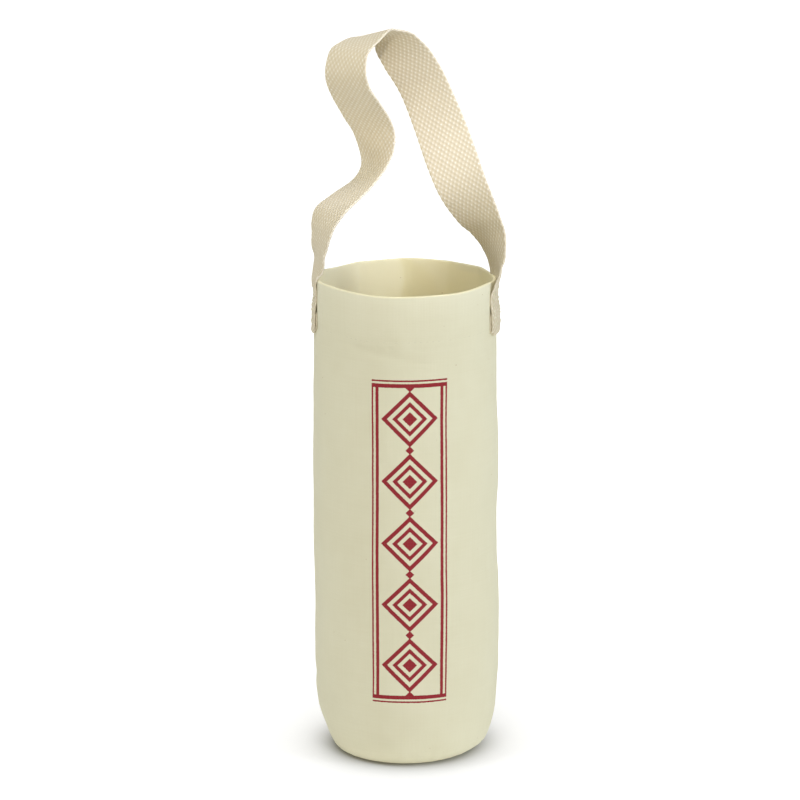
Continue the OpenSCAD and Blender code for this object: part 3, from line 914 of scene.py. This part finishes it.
def webbing_material():
    """Undyed cotton webbing in a close basket weave of thick soft cords, with a painted highlight on the crowns and
    painted shade in the hollows.
    """
    colours, size = bpy.context.scene.carrier_colours, sizes()
    add = new_material(MATERIALS["webbing"])
    in_mm = add("VectorMath", {0: add("UVMap", uv_map="cloth"), "Scale": 1000.0}, operation="SCALE")
    # hand-soft cords never lie quite even, so the weave wanders by a fraction of a cord
    stray = add("TexNoise", {"Vector": in_mm, "Scale": 0.45, "Detail": 2.0})
    stray = add("VectorMath", {0: stray.outputs["Color"], 1: (0.5, 0.5, 0.5)}, operation="SUBTRACT")
    placed = add("VectorMath", {0: stray, 1: (0.9, 0.9, 0.0), 2: in_mm}, operation="MULTIPLY_ADD")
    waves = []
    for part, pitch in zip(add("SeparateXYZ", {0: placed}).outputs, (size.cord_pitch, size.pick_pitch)):
        turned = add("Math", {0: part, 1: math.pi / (pitch / MM)}, operation="MULTIPLY")
        waves.append(add("Math", {0: turned}, operation="COSINE"))
    crown = add("Math", {0: waves[0], 1: waves[1]}, operation="MULTIPLY")
    # a painted highlight on the crowns, stronger on some cords than on others
    pale = add("MapRange", {"Value": crown, "From Min": 0.42, "From Max": 0.95}, interpolation_type="SMOOTHSTEP")
    crown_highlight_patches = add("TexNoise", {"Vector": in_mm, "Scale": 0.55, "Detail": 3.0, "Roughness": 0.6})
    crown_highlight_patches = add("MapRange", {"Value": crown_highlight_patches, "From Min": 0.35, "From Max": 0.65, "To Min": 0.3})
    dots = add("Math", {0: pale, 1: crown_highlight_patches}, operation="MULTIPLY")
    # painted shade in the hollows between the cords
    ground = add("MapRange", {"Value": crown, "From Min": -1.0, "From Max": 0.2, "To Min": 0.3, "To Max": 0.5})
    share = add("Math", {0: dots, 1: 0.55, 2: ground}, operation="MULTIPLY_ADD")
    # the selvedges get less of the painted hollow shade, a painted highlight that keeps their lit edges pale
    to_middle = add("Math", {0: add("SeparateXYZ", {0: in_mm}).outputs[0]}, operation="ABSOLUTE")
    bound = add("MapRange", {"Value": to_middle, "From Min": 15.2, "From Max": 15.8, "To Max": 0.6})
    share = add("Math", {0: share, 1: bound}, operation="MAXIMUM")
    cloth = add("Mix", {0: share, 6: (*colours.webbing_hollow_painted_shade, 1), 7: (*colours.webbing, 1)}, data_type="RGBA")
    # the plies that each cord is laid up from run aslant
    slant = add("VectorMath", {0: in_mm, 1: (6.0, 2.0, 0.0)}, operation="DOT_PRODUCT")
    plies = add("Math", {0: slant.outputs["Value"]}, operation="SINE")
    relief = add("Math", {0: plies, 1: 0.12, 2: crown}, operation="MULTIPLY_ADD")
    bump = add("Bump", {"Strength": 0.3, "Distance": 0.15 * MM, "Height": relief})
    shader = add("BsdfPrincipled", {"Base Color": cloth.outputs[2], "Roughness": 0.85, "Specular IOR Level": 0.25,
                                    "Sheen Weight": 0.15, "Sheen Roughness": 0.5, "Normal": bump})
    add("OutputMaterial", {0: shader})


def thread_material():
    """Spun cotton sewing thread: matt, with the slant of its twist and painted shade in its grooves."""
    pale = bpy.context.scene.carrier_colours.thread
    # painted shade: the grooves of the twist are given a colour 0.82 as bright as the thread's
    hollow = [part * 0.82 for part in pale]
    add = new_material(MATERIALS["thread"])
    place = add("TexCoord").outputs["Object"]
    twist = add("TexWave", {"Vector": place, "Scale": 900.0, "Distortion": 1.5, "Detail": 1.0},
                bands_direction="DIAGONAL")
    cloth = add("Mix", {0: twist, 6: (*hollow, 1), 7: (*pale, 1)}, data_type="RGBA")
    bump = add("Bump", {"Strength": 0.4, "Distance": 0.05 * MM, "Height": twist})
    shader = add("BsdfPrincipled", {"Base Color": cloth.outputs[2], "Roughness": 0.75, "Specular IOR Level": 0.3,
                                    "Sheen Weight": 0.1, "Normal": bump})
    add("OutputMaterial", {0: shader})


# Stage

# The camera's distance and height, and the height on the carrier's axis that it looks at. It is turned from the
# front towards +X, and moved to the left with what it looks at.
CAMERA_AWAY, CAMERA_HEIGHT, AIM_HEIGHT = 1.9, 0.68, 0.2175
CAMERA_LEFT, CAMERA_TURN_DEG = 3.2 * MM, 3.5
# Focal length in pixels of the photograph, which is 800 pixels wide
FOCAL_PIXELS = 3235
LAMP_AWAY = 2.4
# Lamps, LAMP_AWAY from the carrier: degrees from the front towards +X, degrees up, size in m, power in W, tint
LAMPS = (
    ("key", 70, 25, 0.6, 15.6, (0.91, 1.0, 1.09)),
    ("front", -5, 25, 0.6, 3.0, (1.2, 1.0, 0.7)),
    ("top", 0, 70, 0.6, 10.5, (1.0, 1.0, 1.06)),
    ("high_left", -60, 60, 0.6, 10.5, (0.92, 1.0, 1.04)),
)
# Spots that light the handle and the inside of the mouth over the rim: degrees from the front, degrees up,
# height of the aim and of the cone's lower edge in m, power in W, tint
SPOTS = (
    ("right_spot", 45, 22, 0.375, 0.290, 76.0, (0.86, 1.0, 1.6)),
    ("front_spot", 0, 22, 0.375, 0.290, 88.0, (1.04, 1.0, 0.93)),
)
ROOM_LIGHT, ROOM_TINT = 0.385, (1.03, 1.0, 0.87)
# Radius in mm where the floor's white begins, length in mm over which it comes up, and its height, which
# together paint the contact shadow; and the floor's own glow on the carrier, a painted bounce light from below
FLOOR_GLOW = (43.5, 13.0, 0.78, 0.15)


class CARRIER_OT_stage(Operator):
    """Set the carrier on a white floor under soft studio light, and place the camera"""
    bl_idname = "carrier.stage"
    bl_label = "Stage"

    def execute(self, context):
        scene = context.scene
        scene.view_settings.view_transform = "Standard"
        white_floor()
        studio_light()
        camera = bpy.data.cameras.new("camera")
        camera.sensor_width, camera.lens, camera.clip_end = 36, FOCAL_PIXELS / 800 * 36, 50
        holder = bpy.data.objects.new("camera", camera)
        scene.collection.objects.link(holder)
        cos, sin = math.cos(math.radians(CAMERA_TURN_DEG)), math.sin(math.radians(CAMERA_TURN_DEG))
        left = -CAMERA_LEFT * Vector((cos, sin, 0))
        spot = Vector((CAMERA_AWAY * sin, -CAMERA_AWAY * cos, CAMERA_HEIGHT)) + left
        aim = Vector((0, 0, AIM_HEIGHT)) + left
        holder.location = spot
        holder.rotation_euler = (aim - spot).to_track_quat("-Z", "Y").to_euler()
        scene.camera = holder
        return {"FINISHED"}


def white_floor():
    """A white sweep of floor that keeps the shadow. To the camera its glow shows white, dimmed near the foot as a
    painted contact shadow; to the carrier it glows faintly, a painted bounce light from below.
    """
    start_piece()
    bpy.ops.mesh.primitive_circle_add(vertices=96, radius=6.0, fill_type="NGON", location=(0, 0, -0.1 * MM))
    floor = bpy.context.object
    floor.name = "floor"
    add = new_material("white_paper_floor")
    seen = add("LightPath")
    views = add("Math", {0: seen.outputs["Is Camera Ray"], 1: seen.outputs["Is Glossy Ray"]}, operation="MAXIMUM")
    # seen by the camera, the white comes up from the foot outwards, and its low glow near the foot is a painted contact
    # shadow
    start, reach, top, painted_bounce_glow = FLOOR_GLOW
    away = add("VectorMath", {0: add("TexCoord").outputs["Object"]}, operation="LENGTH").outputs["Value"]
    fall = add("Math", {0: away, 1: -1 / (reach * MM), 2: start / reach}, operation="MULTIPLY_ADD")
    fall = add("Math", {0: fall}, operation="EXPONENT")
    white = add("Math", {0: fall, 1: -top, 2: top}, operation="MULTIPLY_ADD", use_clamp=True)
    far = add("MapRange", {"Value": away, "From Min": 0.08, "From Max": 0.25, "To Max": 1 - top})
    white = add("Math", {0: white, 1: far}, operation="ADD")
    # for all other rays the floor glows faintly, a painted bounce light on the carrier from below
    strength = add("Mix", {0: views, 2: painted_bounce_glow, 3: white}, data_type="FLOAT")
    glow = add("Emission", {"Color": (1, 1, 1, 1), "Strength": strength})
    tone = add("MapRange", {"Value": views, "To Min": 0.9, "To Max": 0.4})
    paper = add("BsdfDiffuse", {"Color": tone})
    add("OutputMaterial", {0: add("AddShader", {0: paper, 1: glow})})
    floor.data.materials.append(bpy.data.materials["white_paper_floor"])


def studio_light():
    """Soft lamps from the right, the front, above and the high left, two spots over the rim, and a dim even room."""
    world = bpy.data.worlds.new("white_room")
    bpy.context.scene.world = world
    world.use_nodes = True
    world.node_tree.nodes.clear()
    add = partial(add_node, world.node_tree)
    seen = add("LightPath")
    views = add("Math", {0: seen.outputs["Is Camera Ray"], 1: seen.outputs["Is Glossy Ray"]}, operation="MAXIMUM")
    views = add("Math", {0: views, 1: seen.outputs["Is Transmission Ray"]}, operation="MAXIMUM")
    room = add("Background", {"Color": (*ROOM_TINT, 1), "Strength": ROOM_LIGHT})
    white = add("Background", {"Color": (1, 1, 1, 1), "Strength": 1.0})
    add("OutputWorld", {0: add("MixShader", {0: views, 1: room, 2: white})})
    for name, azimuth, elevation, size, power, tint in LAMPS:
        lamp = place_lamp(name, "AREA", azimuth, elevation, 0.25, power, tint)
        lamp.shape, lamp.size = "DISK", size
    for name, azimuth, elevation, aim, low, power, tint in SPOTS:
        lamp = place_lamp(name, "SPOT", azimuth, elevation, aim, power, tint)
        lamp.spot_size = 2 * math.atan((aim - low) * math.cos(math.radians(elevation)) / LAMP_AWAY)
        lamp.spot_blend, lamp.shadow_soft_size = 0.35, 0.6 * (aim - low)


def place_lamp(name, kind, azimuth, elevation, aim, power, tint):
    """Adds a lamp LAMP_AWAY from the carrier that points at a height on its axis."""
    lamp = bpy.data.lights.new(name, kind)
    lamp.energy, lamp.color = power, tint
    holder = bpy.data.objects.new(name, lamp)
    bpy.context.scene.collection.objects.link(holder)
    swing, up = math.radians(azimuth), math.radians(elevation)
    way = Vector((math.sin(swing) * math.cos(up), -math.cos(swing) * math.cos(up), math.sin(up)))
    holder.location = Vector((0, 0, aim)) + LAMP_AWAY * way
    holder.rotation_euler = (-way).to_track_quat("-Z", "Y").to_euler()
    return lamp


OPERATORS = (CARRIER_OT_finishes, CARRIER_OT_canvas_body, CARRIER_OT_base_cloth, CARRIER_OT_seam_edges,
             CARRIER_OT_webbing_handle, CARRIER_OT_stitching, CARRIER_OT_stage)


class CARRIER_PT_panel(Panel):
    """Lists the carrier's pieces in the sidebar"""
    bl_idname = "CARRIER_PT_panel"
    bl_label = "Canvas bottle carrier"
    bl_space_type = "VIEW_3D"
    bl_region_type = "UI"
    bl_category = "Carrier"

    def draw(self, context):
        for operator in OPERATORS:
            self.layout.operator(operator.bl_idname)
        for group in (context.scene.carrier_sizes, context.scene.carrier_colours):
            column = self.layout.column()
            for name in group.__annotations__:
                column.prop(group, name)


CLASSES = (CarrierSizes, CarrierColours) + OPERATORS + (CARRIER_PT_panel,)


def register():
    for item in CLASSES:
        bpy.utils.register_class(item)
    bpy.types.Scene.carrier_sizes = PointerProperty(type=CarrierSizes)
    bpy.types.Scene.carrier_colours = PointerProperty(type=CarrierColours)


def unregister():
    del bpy.types.Scene.carrier_colours
    del bpy.types.Scene.carrier_sizes
    for item in reversed(CLASSES):
        bpy.utils.unregister_class(item)


def main():
    """Makes every piece in order."""
    register()
    for operator in OPERATORS:
        group, name = operator.bl_idname.split(".")
        getattr(getattr(bpy.ops, group), name)()


if __name__ == "__main__":
    main()
